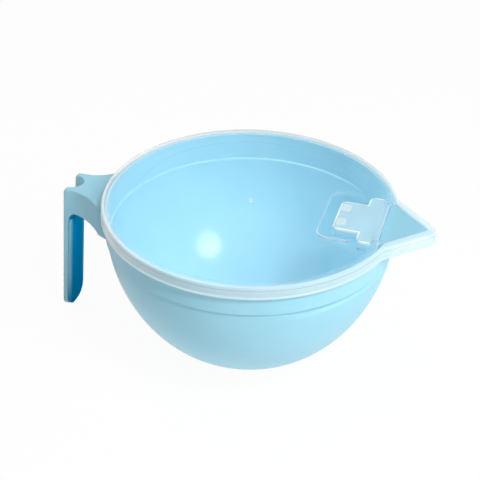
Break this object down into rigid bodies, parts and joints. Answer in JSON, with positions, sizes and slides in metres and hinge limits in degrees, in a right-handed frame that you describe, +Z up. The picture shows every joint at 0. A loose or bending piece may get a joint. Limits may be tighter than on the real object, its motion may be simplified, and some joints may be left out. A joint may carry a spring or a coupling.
{
  "type": "lidded mixing bowl",
  "caption": "Small round plastic mixing bowl with a hook handle, a pouring spout and a clear lid with a hinged flap.",
  "frame": {"origin": "middle of the flat underside that the bowl stands on", "axes": "+Z up, +X from the handle to the spout, +Y to the left when looking along +X"},
  "size_m": [0.2129, 0.16, 0.0969],
  "materials": {
    "sky_blue": "satin moulded",
    "deep_blue": "soft satin",
    "milky": "translucent satin",
    "clear": "clear gloss"
  },
  "bodies": {
    "bowl": {"bowl_body": "sky_blue", "base_pad": "deep_blue", "handle": "sky_blue", "grip_pad": "deep_blue"},
    "lid": {"lid_rim": "milky", "lid_panel": "clear", "hinge_pin": "milky"},
    "flap": {"spout_flap": "milky"}
  },
  "joints": [
    {"name": "lid_lift", "type": "slide", "parent": "bowl", "child": "lid", "axis": [0, 0, 1], "range_m": [0, 0.06]},
    {"name": "flap_hinge", "type": "hinge", "parent": "lid", "child": "flap", "pos_m": [0.0714, 0, 0.0948], "axis": [0, 1, 0], "range_deg": [0, 100]}
  ]
}
